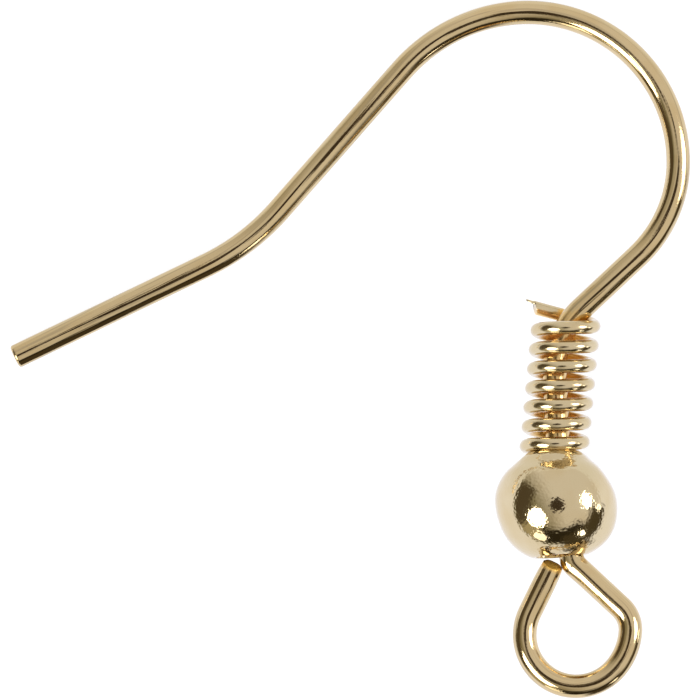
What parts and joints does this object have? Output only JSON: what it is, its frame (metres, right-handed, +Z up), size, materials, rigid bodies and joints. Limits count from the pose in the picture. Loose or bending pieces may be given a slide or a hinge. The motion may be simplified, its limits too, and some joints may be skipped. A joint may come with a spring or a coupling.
{
  "type": "ear wire",
  "caption": "Fish-hook ear wire in pale gold metal: a bent hook with a straight free end, and a wire coil and a ball on its shank above an open eye.",
  "frame": {"origin": "middle of the bounding box, on the surface that the ear wire lies on", "axes": "+X to the right of the picture, where the shank is, +Y up the picture, towards the arch, +Z up from the surface, towards the camera"},
  "size_m": [0.017, 0.0174, 0.003],
  "materials": {
    "pale_gold": "polished pale gold plating"
  },
  "bodies": {
    "root": {"ear_wire": "pale_gold", "ball": "pale_gold", "coil": "pale_gold"}
  },
  "joints": []
}
